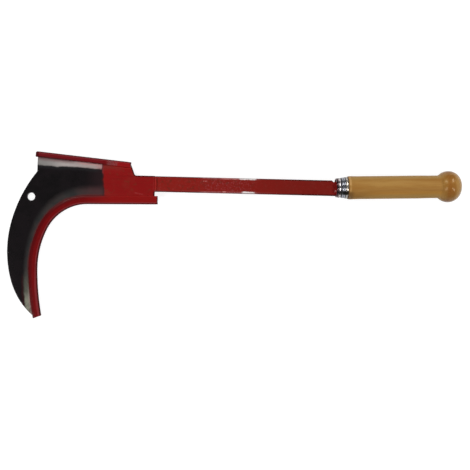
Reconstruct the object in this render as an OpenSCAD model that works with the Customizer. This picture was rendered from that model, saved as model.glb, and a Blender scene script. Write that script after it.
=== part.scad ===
// Double-edged sickle with push-on edge guards: a hooked plate blade lapped onto a flat bar,
// a beaded ferrule and a turned wooden grip with a knob.
// The grip's straight turned part is centred on the origin with its axis along X. The knob is at +X,
// the back of the blade at +Y, and the blade's front face looks along +Z. All sizes are in mm.

/* [Grip] */
// Radius of the straight turned part
grip_r = 14.6; // [12:0.1:17]
// Length of the straight turned part
grip_len = 80; // [60:1:110]
// Length of the swelling behind the ferrule
collar_len = 14.2; // [9:0.1:17]
// How far the swelling stands above the straight part
collar_rise = 0.25; // [0.1:0.05:1.2]
// Distance of the swelling's crown from the ferrule
crown_at = 3.6; // [2.5:0.1:5]
// Radius of the swelling's curve in front of its crown
crown_r = 10; // [7:0.5:20]
// Length of the neck between the straight part and the hollow of the knob
neck_len = 20.2; // [10:0.1:24]
// How much thinner the neck is than the straight part
neck_dip = 0.2; // [0:0.05:0.8]
// Largest radius of the knob
knob_r = 20; // [18:0.1:23]
// Radius of the knob's rounded side
knob_round = 16; // [15:0.1:18]
// Radius of the hollow that runs from the neck up to the knob
cove_r = 5; // [4:1:24]

/* [Ferrule] */
// Length of the ferrule
ferrule_len = 14.8; // [13:0.1:24]
// Wall of the ferrule
ferrule_wall = 1; // [0.6:0.1:1.2]
// How much lower than the wood the ferrule's back end lies
ferrule_step = 1; // [0.2:0.05:1.4]
// Height of the bead on the ferrule's mouth
mouth_h = 0.6; // [0.3:0.05:0.8]
// Half width of that bead
mouth_w = 0.8; // [0.5:0.05:0.8]
// Height of the broad bead behind it
broad_h = 0.6; // [0.4:0.05:1]
// Half width of the broad bead
broad_w = 1.7; // [1.4:0.1:2.2]
// Height of the two fine beads behind it
fine_h = 0.4; // [0.2:0.05:0.6]
// Half width of the fine beads
fine_w = 0.95; // [0.6:0.05:1.4]
// Height of the bead at the ferrule's back end
rim_h = 0.5; // [0.2:0.05:0.8]
// Half width of that bead
rim_w = 1.5; // [1:0.1:2]

/* [Shank] */
// Height of the flat bar
bar_w = 19.8; // [17:0.5:22]
// Thickness of the flat bar
bar_t = 5; // [4:0.5:6]
// Bevel along the bar's rolled corners
bar_edge = 0.8; // [0.3:0.1:1.2]
// Distance from the ferrule's mouth to the end of the blade's plate
reach = 230.5; // [180:0.5:300]
// How far the bar runs on behind the plate
lap_len = 52; // [40:1:60]
// Angle between the bar and the grip's axis
shank_tilt = 2; // [0:0.1:3]
// Distance ahead of the ferrule's mouth at which the bar's axis crosses the grip's axis
bend_ahead = 17; // [0:1:25]
// How far the bar runs into the ferrule before the tang starts
bar_in = 3; // [2:0.5:5]
// Depth of the forged shoulder in the bar's upper edge, just ahead of the ferrule
shoulder_cut = 2.2; // [1:0.1:4]
// Width of the tang where it leaves the bar
tang_w = 11; // [8:0.5:13]
// Width of the tang at its point
tang_tip_w = 5; // [3:0.5:7]
// Length of the tang
tang_len = 78; // [50:1:100]

/* [Welds] */
// Leg of the weld beads that hold the plate to the bar
weld_leg = 3; // [2:0.5:4]

/* [Blade] */
// Thickness of the plate
plate_t = 3; // [2.5:0.1:4]
// Depth of the plate below the bar, at the plate's end
tail_below = 14; // [13:0.1:20]
// Distance from the plate's end to the top of its shoulder
shoulder_back = 31; // [24:0.1:40]
// How far the shoulder slopes along the blade
shoulder_run = 5.6; // [3:0.1:10]
// Height of the shoulder above the bar
shoulder_rise = 14.6; // [12:0.1:20]
// Rounding at the foot of the shoulder
foot_round = 3; // [1:0.5:5]
// Length of the straight back edge
back_len = 118.8; // [105:0.1:130]
// Fall of the back edge toward the grip
back_fall = 5.35; // [3:0.05:8]
// Height of the square heel at the back edge's far end
heel_h = 22.2; // [19:0.1:27]
// Rounding of the corner below the heel
heel_round = 3; // [1:0.5:6]
// Diameter of the hanging hole
hole_d = 10; // [6:0.5:12]
// Distance from the hole's centre to the spine
hole_inset = 11.5; // [10:0.1:16]
// Distance of the hole below the heel's corner, along the spine
hole_along = 31.1; // [20:0.1:45]

/* [Curves of the blade] */
// Length of the hook edge's straight part
hook_straight = 85; // [75:0.5:95]
// Angle of that straight part to the bar
hook_slope = 1.1; // [0:0.1:3]
// Radius of the hook's bend
bend_r = 60; // [54:1:66]
// Radius of the hook's flank, below the bend
flank_r = 115; // [105:1:125]
// Radius of the nearly straight edge at the tip
tip_r = 330; // [250:5:450]
// Angle that the bend turns through
bend_turn = 63.2; // [60:0.1:67]
// Angle that the flank turns through
flank_turn = 26.5; // [20:0.5:28]
// Angle that the edge at the tip turns through
tip_turn = 10.4; // [8:0.1:12]
// Slant of the cut-off tip, from square to the edge
tip_slant = 10; // [0:1:25]
// Turn of the corner below the heel, from the heel's end into the spine
heel_turn = 37.6; // [37:0.1:38.5]
// Radius of the spine below the heel
spine_r = 175; // [165:1:190]
// Angle that the spine turns through below the heel
spine_turn = 24.5; // [23:0.5:26]
// Radius of the spine's middle part
belly_r = 140; // [130:1:150]
// Angle that the spine's middle part turns through
belly_turn = 30; // [28:0.5:32]
// Radius of the spine near the tip
point_r = 92; // [86:1:96]

/* [Cutting edges] */
// Width of the grind along the hook edge
hook_grind = 19; // [14:0.5:22]
// Width of the grind along the back edge
back_grind = 15; // [12:0.5:18]
// Width of the cutting bevels
bevel_w = 3; // [1.5:0.1:4]
// Thickness of the plate where the cutting bevels start
bevel_t = 1.4; // [0.8:0.1:1.6]
// Thickness left at the very edge
edge_t = 0.2; // [0.1:0.05:0.4]

/* [Edge guards] */
// Depth of a guard's lips over the plate, from the edge
lip_depth = 8.3; // [6:0.1:9.5]
// Depth of the back guard's lips over the plate
back_lip_depth = 4.8; // [4:0.1:8]
// Thickness of a guard
guard_t = 6; // [5.2:0.1:7]
// Thinning of each lip toward its mouth
lip_draft = 0.4; // [0:0.1:0.6]
// Plastic between the cutting edge and a guard's nose
nose_wall = 2; // [1.2:0.1:3]
// Play between a guard and the plate
slot_gap = 0.3; // [0.15:0.05:0.5]
// How far the hook guard runs past the plate's end
guard_over = 4; // [0.5:0.5:8]
// How far the back guard runs past the heel
heel_over = 2.2; // [0.5:0.1:3]
// How far the hook guard runs past the tip
tip_over = 1.2; // [0.3:0.1:2]
// Length of the corner trimmed off the back guard at the heel
trim_l = 1; // [1:0.1:6]
// Height of that trimmed corner
trim_h = 1.4; // [1:0.1:4.5]

/* [Hidden] */

$fn = 96;
// Largest turn and largest length of one facet along a curved edge
facet_turn = 3;
facet_len = 6;
// Turn of the spine's last arc, which runs on past the cut tip
point_turn = 70;
// Overshoot of a cutter past the face that it cuts
over = 1;
// A length that reaches past the whole blade
beyond = 2 * back_len;
// Depth of the forged shoulder's step, and its place before the ferrule
notch_gap = 3.2;
notch_run = 0.5;
// Clearance of the bar in the ferrule's mouth
mouth_gap = 0.3;
// Clearance of the wood in the ferrule, and of the tang in the wood
seat_gap = 0.05;
// Gap between the bar's end and the wood inside the ferrule
spigot_gap = 0.4;
// Bevel along the lips of the guards
lip_edge = 0.5;
// How far a rolled bead's ends lie in the ferrule's wall, and the plain strip beside the outer beads
bead_sink = 0.1;
bead_gap = 0.4;
// Edge broken at the front of the wood's swelling
wood_edge = 0.5;

red = [0.53, 0.1, 0.1];
black = [0.11, 0.1, 0.11];
crimson = [0.52, 0.07, 0.12];
wood = [0.68, 0.53, 0.29];
chrome = [0.78, 0.78, 0.8];

// Stations along the grip's axis
wood_x = -grip_len / 2 - collar_len;
mouth_x = wood_x - ferrule_len;
spigot_x = mouth_x + bar_in + spigot_gap;
neck_x = grip_len / 2 + neck_len;
neck_r = grip_r - neck_dip;

// The ferrule's bore just passes the bar's corners, and widens to the wood
mouth_r = norm([bar_w, bar_t]) / 2 + mouth_gap;
back_r = grip_r - ferrule_step - ferrule_wall;

// The knob's side and the hollow before it are circles that touch
knob_cy = knob_r - knob_round;
cove_cy = neck_r + cove_r;
knob_cx = neck_x + sqrt(pow(knob_round + cove_r, 2) - pow(cove_cy - knob_cy, 2));
meet = atan2(cove_cy - knob_cy, knob_cx - neck_x);

// Heights, from the bar's middle plane
plate_z = bar_t / 2;

// Corners of the plate, from the point where the plate's end crosses the bar's axis
shoulder_top = [-shoulder_back, bar_w / 2 + shoulder_rise];
shoulder_foot = [shoulder_top.x + shoulder_run, bar_w / 2];
hook_start = [0, -bar_w / 2 - tail_below];
back_end = point(shoulder_top, 180 - back_fall, back_len);

// Edges as chains of legs. All arcs of the hook turn the same way, and the spine's grow tighter to the tip.
hook_steps = [[0, hook_straight], [bend_r, bend_turn], [flank_r, flank_turn], [tip_r, tip_turn]];
spine_steps = [[0, heel_h], [-heel_round, heel_turn], [spine_r, spine_turn],
               [belly_r, belly_turn], [point_r, point_turn]];

// A point at distance l from p, in the direction of heading h
function point(p, h, l) = p + l * [cos(h), sin(h)];

// The legs of a path: each is [start, heading, radius, amount]. A step of radius 0 runs straight for
// its amount in mm. Any other turns through its amount in degrees, to the left, or right if negative.
function legs(p, h, steps, i = 0) = i == len(steps) ? [[p, h, 0, 0]] :
    let (r = steps[i][0], a = steps[i][1], g = r == 0 ? h : h + sign(r) * a)
    concat([[p, h, r, a]],
           legs(r == 0 ? point(p, h, a) : point(p, h + 90, r) + point([0, 0], g - 90, r),
                g, steps, i + 1));

// Stations [point, heading] along a path, close enough for a smooth curve
function stations(path) = [for (leg = path)
    let (p = leg[0], h = leg[1], r = leg[2], a = leg[3],
         n = r == 0 ? 1 : ceil(max(a / facet_turn, a * PI / 180 * abs(r) / facet_len)))
    for (i = [0 : n - 1])
        let (g = h + sign(r) * a * i / n)
        [r == 0 ? p : point(p, h + 90, r) + point([0, 0], g - 90, r), g]];

function plan(path) = [for (s = stations(path)) s[0]];

// Points on an arc from angle a to angle b
function arc(c, r, a, b, n = 12) = [for (i = [0 : n]) point(c, a + (b - a) * i / n, r)];

// The corner q between p and s, rounded with radius r
function unit(v) = v / norm(v);
function rounded(p, q, s, r, n = 6) =
    let (u = unit(p - q), v = unit(s - q), half = acos(u * v) / 2, c = q + unit(u + v) * r / sin(half),
         a = q + u * r / tan(half) - c, b = q + v * r / tan(half) - c, start = atan2(a.y, a.x),
         turn = (atan2(b.y, b.x) - start + 540) % 360 - 180)
    arc(c, r, start, start + turn, n);

// Carries a section along a path. Its x runs to the right of the path, its y runs up, and its points go
// round counterclockwise. Where it isn't convex, cells lists the convex parts that its ends are made of.
module sweep(path, section, cells = []) {
    rings = stations(path);
    n = len(section);
    last = (len(rings) - 1) * n;
    parts = len(cells) > 0 ? cells : [[for (j = [0 : n - 1]) j]];
    points = [for (s = rings) for (q = section)
        let (p = point(s[0], s[1] - 90, q.x)) [p.x, p.y, q.y]];
    sides = [for (i = [0 : len(rings) - 2]) for (j = [0 : n - 1])
        let (k = (j + 1) % n) [i * n + j, i * n + k, (i + 1) * n + k, (i + 1) * n + j]];
    ends = [for (c = parts) each [[for (j = [len(c) - 1 : -1 : 0]) c[j]], [for (j = c) last + j]]];
    polyhedron(points, concat(sides, ends));
}

// Turns a profile of [x, r] points about the grip's axis
module turned(profile) {
    rotate([0, 90, 0]) rotate_extrude()
        polygon([for (q = profile) [q.y, q.x]]);
}

// Places the bar and the blade: the origin goes to the plate's end, on the bar's axis
module head() {
    translate([mouth_x - bend_ahead, 0, 0]) rotate([0, 0, -shank_tilt])
        translate([bend_ahead - reach, 0, 0]) children();
}

// Hook edge and back edge, run on past both ends of the plate
hook_path = legs(point(hook_start, hook_slope, guard_over), 180 + hook_slope,
                 concat([[0, guard_over]], hook_steps));
hook_end = hook_path[len(hook_path) - 1];
tip_cut = hook_end[1] - 90 + tip_slant;
back_start = point(back_end, 180 - back_fall, heel_over);

// Height of the ground front face at x from the edge, over the plate's back face
function ground(x, grind) = bevel_t + (plate_t - bevel_t) * (x - bevel_w) / (grind - bevel_w);

// Section of what a flat grind through p and q takes off: the side away from the plate's middle
function wedge(p, q) =
    let (k = (q.y - p.y) / (q.x - p.x), a = [-over, p.y - k * (p.x + over)], b = [q.x + over, q.y + k * over])
    k > 0 ? [a, b, [a.x, b.y]] : [[a.x, b.y], b, a];

// Grinds an edge: the wide flat on the front face, then the two bevels that meet in the cutting edge
module grind(path, width) {
    sweep(path, wedge([bevel_w, bevel_t], [width, plate_t]));
    sweep(path, wedge([0, (bevel_t + edge_t) / 2], [bevel_w, bevel_t]));
    sweep(path, wedge([0, (bevel_t - edge_t) / 2], [bevel_w, 0]));
}

// Outline of the plate: the blank inside the spine, less the bay inside the hook
module blade_plan() {
    spine = plan(legs(back_end, 270, spine_steps));
    low = spine[len(spine) - 1].y;
    difference() {
        polygon(concat(spine, [[0, low], [0, bar_w / 2]],
                       rounded([0, bar_w / 2], shoulder_foot, shoulder_top, foot_round), [shoulder_top]));
        polygon(concat(plan(hook_path), [point(hook_end[0], tip_cut, beyond), point(hook_end[0], 270, beyond),
                                         [guard_over, low - beyond]]));
    }
}

// Centre of the hanging hole, measured along the spine from below the heel and in from the spine
function hole_centre() =
    let (leg = legs(back_end, 270, spine_steps)[2], turn = hole_along / spine_r * 180 / PI)
    point(leg[0], leg[1] + 90, spine_r) + point([0, 0], leg[1] - 90 + turn, spine_r - hole_inset);

module blade() {
    back = legs(back_start, -back_fall, [[0, back_len + heel_over + shoulder_run + 2 * over]]);
    hook = legs(hook_path[0][0], hook_path[0][1],
                concat([[0, guard_over]], hook_steps, [[0, 2 * hook_grind]]));
    color(black) head() translate([0, 0, plate_z]) difference() {
        linear_extrude(plate_t) blade_plan();
        grind(hook, hook_grind);
        grind(back, back_grind);
        translate([hole_centre().x, hole_centre().y, -over]) cylinder(d = hole_d, h = plate_t + 2 * over);
    }
}

// Flat bar with its corners broken, along +X from x0 to x1
module flat_bar(x0, x1) {
    w = bar_w / 2;
    t = bar_t / 2;
    e = bar_edge;
    translate([x0, 0, 0]) rotate([90, 0, 90]) linear_extrude(x1 - x0)
        polygon([[-w + e, -t], [w - e, -t], [w, -t + e], [w, t - e],
                 [w - e, t], [-w + e, t], [-w, t - e], [-w, -t + e]]);
}

// Tapered tang in the grip, or its hole, larger by gap all round
module tang(gap = 0) {
    x = mouth_x + bar_in;
    t = bar_t / 2 + gap;
    translate([0, 0, -t]) linear_extrude(2 * t)
        polygon([[x - over, -tang_w / 2 - gap], [x + tang_len + gap, -tang_tip_w / 2 - gap],
                 [x + tang_len + gap, tang_tip_w / 2 + gap], [x - over, tang_w / 2 + gap]]);
}

module shank() {
    w = bar_w / 2;
    c = shoulder_cut;
    color(red) {
        difference() {
            head() flat_bar(-lap_len, reach + bar_in + 2 * over);
            // forged shoulder in the upper edge
            head() translate([reach, 0, -bar_t]) linear_extrude(2 * bar_t)
                polygon([[notch_run - notch_gap - c, w], [-notch_gap, w - c], [0, w - c * 0.7],
                         [bar_in + 3 * over, w - c * 0.7], [bar_in + 3 * over, w + over],
                         [notch_run - notch_gap - c, w + over]]);
            // inside the ferrule the bar's corners are trimmed to the bore
            translate([mouth_x - seat_gap, 0, 0]) rotate([0, 90, 0]) difference() {
                cylinder(r = 2 * bar_w, h = bar_w);
                translate([0, 0, -over]) cylinder(r = mouth_r - mouth_gap, h = bar_w + 2 * over);
            }
            // square end at the foot of the tang
            translate([mouth_x + bar_in, -bar_w, -bar_t]) cube([bar_w, 2 * bar_w, 2 * bar_t]);
        }
        tang();
    }
}

// Weld bead with leg k in a corner, running along +X: it lies below y = 0 and below z = 0
module bead(length, k = weld_leg) {
    rotate([90, 0, 90]) linear_extrude(length)
        polygon(concat([[0, 0]], arc([0, 0], k, 180, 270, 6)));
}

module lap_welds() {
    w = bar_w / 2;
    k = weld_leg;
    front = w - bar_edge;
    color(red) head() translate([0, 0, plate_z]) {
        // behind the plate: along the bar's lower edge, across its end and along its upper edge
        translate([-lap_len, -w, 0]) bead(lap_len);
        translate([-lap_len, w + k, 0]) rotate([0, 0, -90]) bead(2 * (w + k));
        translate([-lap_len, w, 0]) mirror([0, 1, 0]) bead(lap_len + shoulder_foot.x - k);
        // in front: across the bar at the plate's end
        translate([0, front, 0]) rotate([0, 0, -90]) rotate([180, 0, 0])
            bead(2 * front, min(k, plate_t - 0.5));
    }
}

// The ferrule's bore, x behind its mouth
function bore_r(x) = mouth_r + (back_r - mouth_r) * x / ferrule_len;

// A rolled bead round the ferrule: centre x, half width w, height h
module rolled_bead(x, w, h) {
    r = bore_r(x) + ferrule_wall;
    turned(concat([[x - w, mouth_r]],
                  [for (a = [180 : -15 : 0]) [x + w * cos(a), r - bead_sink + (h + bead_sink) * sin(a)]],
                  [[x + w, mouth_r]]));
}

// Thin-walled cone with a rolled mouth, a broad bead, two fine ones and one at its back end
module ferrule() {
    rim = ferrule_len - rim_w - bead_gap;
    fine = rim - rim_w - fine_w - bead_gap;
    color(chrome) translate([mouth_x, 0, 0]) difference() {
        union() {
            turned([[0, 0], [0, mouth_r + ferrule_wall], [ferrule_len, back_r + ferrule_wall],
                    [ferrule_len, 0]]);
            rolled_bead(mouth_w, mouth_w, mouth_h);
            rolled_bead(2 * broad_w + bead_gap, broad_w, broad_h);
            for (x = [fine, fine - 2 * fine_w - bead_sink]) rolled_bead(x, fine_w, fine_h);
            rolled_bead(rim, rim_w, rim_h);
        }
        turned([[-over, 0], [-over, bore_r(-over)], [ferrule_len + over, bore_r(ferrule_len + over)],
                [ferrule_len + over, 0]]);
    }
}

module grip() {
    crown = grip_r + collar_rise;
    lean = asin((crown_at - wood_edge) / crown_r);
    end_x = knob_cx + sqrt(pow(knob_round, 2) - pow(knob_cy, 2));
    front = arc([wood_x + crown_at, crown - crown_r], crown_r, 90 + lean, 90, 5);
    color(wood) difference() {
        turned(concat(
            [[spigot_x, 0], [spigot_x, bore_r(spigot_x - mouth_x) - seat_gap], [wood_x, back_r - seat_gap],
             [wood_x, front[0].y - wood_edge]],
            front,
            [[-grip_len / 2, grip_r], [grip_len / 2, grip_r], [grip_len / 2 + neck_len * 0.4, neck_r]],
            arc([neck_x, cove_cy], cove_r, 270, 360 - meet, 8),
            arc([knob_cx, knob_cy], knob_round, 180 - meet, atan2(-knob_cy, end_x - knob_cx), 28),
            [[end_x, 0]]));
        tang(seat_gap);
    }
}

// A guard along a path over an edge with a grind of that width: a round nose and two lips that thin
// toward their mouth, round a slot that follows the ground plate
module guard(path, depth, grind) {
    g = slot_gap;
    t = guard_t / 2;
    mid = ground(depth, grind) / 2;
    lip = t - lip_draft;
    c = min(lip_edge, (lip - mid - g) / 2);
    edge = bevel_t / 2;
    outside = concat([[depth, mid + lip - c], [depth - c, mid + lip]],
                     arc([t - g - nose_wall, mid], t, 90, 270),
                     [[depth - c, mid - lip], [depth, mid - lip + c]]);
    slot = [[depth, -g], [bevel_w, -g], [-g, edge - edge_t / 2 - g], [-g, edge + edge_t / 2 + g],
            [bevel_w, bevel_t + g], [depth, ground(depth, grind) + g]];
    // upper lip, three parts of the nose, lower lip
    sweep(path, concat(outside, slot),
          [[0, 1, 2, 21, 22], [2, 3, 4, 5, 20, 21], [5, 6, 7, 8, 9, 10, 11, 19, 20],
           [11, 12, 13, 14, 18, 19], [14, 15, 16, 17, 18]]);
}

module back_edge_guard() {
    color(crimson) head() translate([0, 0, plate_z]) difference() {
        guard(legs(back_start, -back_fall, [[0, back_len + heel_over]]), back_lip_depth, back_grind);
        // the corner trimmed off at the heel
        translate([back_start.x, back_start.y, -2 * guard_t]) rotate([0, 0, -back_fall])
            translate([0, slot_gap + nose_wall, 0]) linear_extrude(4 * guard_t)
                polygon([[-over, -trim_h * (1 + over / trim_l)], [trim_l + over, trim_h * over / trim_l],
                         [-over, trim_h]]);
    }
}

module hook_edge_guard() {
    past = point(hook_end[0], hook_end[1], tip_over);
    color(crimson) head() translate([0, 0, plate_z]) difference() {
        guard(legs(hook_path[0][0], hook_path[0][1],
                   concat([[0, guard_over]], hook_steps, [[0, tip_over + lip_depth]])), lip_depth, hook_grind);
        // the slanting cut just past the tip
        translate([past.x, past.y, -2 * guard_t]) rotate([0, 0, tip_cut])
            translate([-3 * lip_depth, 0, 0]) cube([6 * lip_depth, 6 * lip_depth, 4 * guard_t]);
    }
}

blade();
shank();
lap_welds();
ferrule();
grip();
back_edge_guard();
hook_edge_guard();
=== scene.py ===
"""Dresses the double-edged sickle for its picture: steel, paint, plating, wood and plastic guards."""
import logging
import math
from dataclasses import dataclass, field
from enum import Enum

import bpy
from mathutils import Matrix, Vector

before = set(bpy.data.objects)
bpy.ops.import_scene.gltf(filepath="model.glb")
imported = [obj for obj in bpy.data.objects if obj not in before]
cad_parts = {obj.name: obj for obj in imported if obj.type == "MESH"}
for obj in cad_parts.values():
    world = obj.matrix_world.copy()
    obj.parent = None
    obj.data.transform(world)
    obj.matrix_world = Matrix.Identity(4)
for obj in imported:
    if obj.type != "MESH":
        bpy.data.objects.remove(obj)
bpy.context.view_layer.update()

log = logging.getLogger("sickle")

Node = bpy.types.Node
Socket = bpy.types.NodeSocket
Material = bpy.types.Material
Tint = tuple[float, float, float, float]
Triple = tuple[float, float, float]
Pair = tuple[float, float]
Points = tuple[Pair, ...]
# A stretch's low end, its high end and the width of its soft borders
Band = tuple[float, float, float]

# Millimetres in a metre, how wide a mesh's open seam is at most, in metres, and white
MM = 1000
SEAM = 2e-6
WHITE: Tint = (1.0, 1.0, 1.0, 1.0)


class Grind(Enum):
    """Which of the plate's two edges a finish is measured from."""

    BACK = "back"
    HOOK = "hook"


def tint(red: float, green: float, blue: float) -> Tint:
    """Turns a colour as a screen shows it into the linear colour that a shader takes.

    Args:
        red: Red, 0 to 255.
        green: Green, 0 to 255.
        blue: Blue, 0 to 255.

    Returns:
        The linear colour with an alpha of one.
    """
    parts = [value / 255 for value in (red, green, blue)]
    linear = [part / 12.92 if part <= 0.04045 else ((part + 0.055) / 1.055) ** 2.4 for part in parts]
    return (linear[0], linear[1], linear[2], 1.0)


@dataclass(frozen=True)
class Amount:
    """A number that varies over a surface, and the bench whose nodes work it out."""

    bench: "Bench"
    socket: Socket

    def __add__(self, other: object) -> "Amount":
        """Adds a number or another amount."""
        return self.bench.sum("ADD", self, other)

    def __sub__(self, other: object) -> "Amount":
        """Takes a number or another amount away."""
        return self.bench.sum("SUBTRACT", self, other)

    def __mul__(self, other: object) -> "Amount":
        """Multiplies by a number or another amount."""
        return self.bench.sum("MULTIPLY", self, other)

    def __truediv__(self, other: object) -> "Amount":
        """Divides by a number or another amount."""
        return self.bench.sum("DIVIDE", self, other)

    def __abs__(self) -> "Amount":
        """Drops the sign."""
        return self.bench.sum("ABSOLUTE", self)

    def positive(self) -> "Amount":
        """Is 1 where the number is above 0, and 0 elsewhere."""
        return self.bench.sum("GREATER_THAN", self, 0.0)

    def ease(self, start: float, end: float) -> "Amount":
        """Rises smoothly from 0 at start to 1 at end, whichever of the two is the greater.

        Args:
            start: Where the result is 0.
            end: Where the result is 1.

        Returns:
            The eased number.
        """
        low, high = (1.0, 0.0) if start > end else (0.0, 1.0)
        inputs = {
            "Value": self, "From Min": min(start, end), "From Max": max(start, end),
            "To Min": low, "To Max": high,
        }
        node = self.bench.put("MapRange", inputs, interpolation_type="SMOOTHSTEP")
        return Amount(self.bench, node.outputs[0])

    def between(self, low: float, high: float, soft: float) -> "Amount":
        """Is 1 from low to high and falls to 0 over a soft border on both sides.

        Args:
            low: The lower border's middle.
            high: The upper border's middle.
            soft: The width of the borders.

        Returns:
            The mask.
        """
        half = soft / 2
        return self.ease(low - half, low + half) * self.ease(high + half, high - half)

    def spread(self, low: float, high: float) -> "Amount":
        """Turns 0 to 1 into low to high."""
        return self.bench.sum("MULTIPLY_ADD", self, high - low, low)

    def pick(self, low: object, high: object) -> "Amount":
        """Goes from one number or amount at 0 to another at 1."""
        node = self.bench.put("Mix", {0: self, 2: low, 3: high}, data_type="FLOAT")
        return Amount(self.bench, node.outputs[0])

    def curve(self, points: Points) -> "Amount":
        """Reads a smooth curve through some points.

        Args:
            points: The curve's points, each a place and a height, in rising order.

        Returns:
            The curve's height.
        """
        start, end = points[0][0], points[-1][0]
        heights = [height for _, height in points]
        low, high = min(heights), max(heights)
        share = self.bench.put("MapRange", {"Value": self, "From Min": start, "From Max": end})
        node = self.bench.put("FloatCurve", {"Value": share.outputs[0]})
        line = node.mapping.curves[0]
        spots = [((at - start) / (end - start), (height - low) / (high - low)) for at, height in points]
        line.points[0].location, line.points[1].location = spots[0], spots[-1]
        for point in spots[1:-1]:
            line.points.new(*point)
        node.mapping.update()
        return Amount(self.bench, node.outputs[0]).spread(low, high)


@dataclass(frozen=True)
class Place:
    """A place on a piece, in millimetres, and the bench whose nodes work it out."""

    bench: "Bench"
    socket: Socket

    def axes(self) -> tuple[Amount, Amount, Amount]:
        """Splits the place into its three numbers."""
        first, second, third = self.bench.put("SeparateXYZ", {0: self}).outputs
        return Amount(self.bench, first), Amount(self.bench, second), Amount(self.bench, third)

    def stretch(self, scale: Triple, turn: float = 0.0) -> "Place":
        """Turns the place about the vertical and then scales it, so that a grain runs along the first axis.

        Args:
            scale: The scale along each axis.
            turn: The turn, in degrees.

        Returns:
            The new place.
        """
        turned = self.bench.put("Mapping", {"Vector": self, "Rotation": (0, 0, math.radians(turn))})
        node = self.bench.put("VectorMath", {0: turned.outputs[0], 1: scale}, operation="MULTIPLY")
        return Place(self.bench, node.outputs[0])

    def wander(self, size: float, reach: float) -> "Place":
        """Moves the place about a little, so that borders read at it run unevenly.

        Args:
            size: How long one wave is.
            reach: How far the place moves at most.

        Returns:
            The moved place.
        """
        noise = self.bench.put("TexNoise", {"Vector": self, "Scale": 1 / size, "Detail": 3.0})
        inputs = {0: noise.outputs["Color"], 1: (0.5,) * 3}
        centred = self.bench.put("VectorMath", inputs, operation="SUBTRACT")
        inputs = {0: centred.outputs[0], 1: (2 * reach,) * 3, 2: self}
        return Place(self.bench, self.bench.put("VectorMath", inputs, operation="MULTIPLY_ADD").outputs[0])

    def cloud(self, size: float, detail: float = 3.0, rough: float = 0.5, warp: float = 0.0) -> Amount:
        """Gives soft cloudy noise around 0.5.

        Args:
            size: How wide one cloud is, in millimetres before any stretch.
            detail: How many finer layers there are.
            rough: How strong the finer layers are.
            warp: How much the clouds are pulled about.

        Returns:
            The noise.
        """
        inputs = {"Vector": self, "Scale": 1 / size, "Detail": detail, "Roughness": rough, "Distortion": warp}
        return Amount(self.bench, self.bench.put("TexNoise", inputs).outputs[0])

    def ahead(self, origin: Pair, direction: Pair) -> Amount:
        """Gives how far the place lies ahead of a point along a direction.

        Args:
            origin: The point.
            direction: The direction, one unit long.

        Returns:
            The distance.
        """
        node = self.bench.put("VectorMath", {0: self, 1: (*direction, 0)}, operation="DOT_PRODUCT")
        start = origin[0] * direction[0] + origin[1] * direction[1]
        return Amount(self.bench, node.outputs["Value"]) - start

    def away(self, point: Pair) -> Amount:
        """Gives the distance from a point at height 0."""
        node = self.bench.put("VectorMath", {0: self, 1: (*point, 0)}, operation="DISTANCE")
        return Amount(self.bench, node.outputs["Value"])


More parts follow.
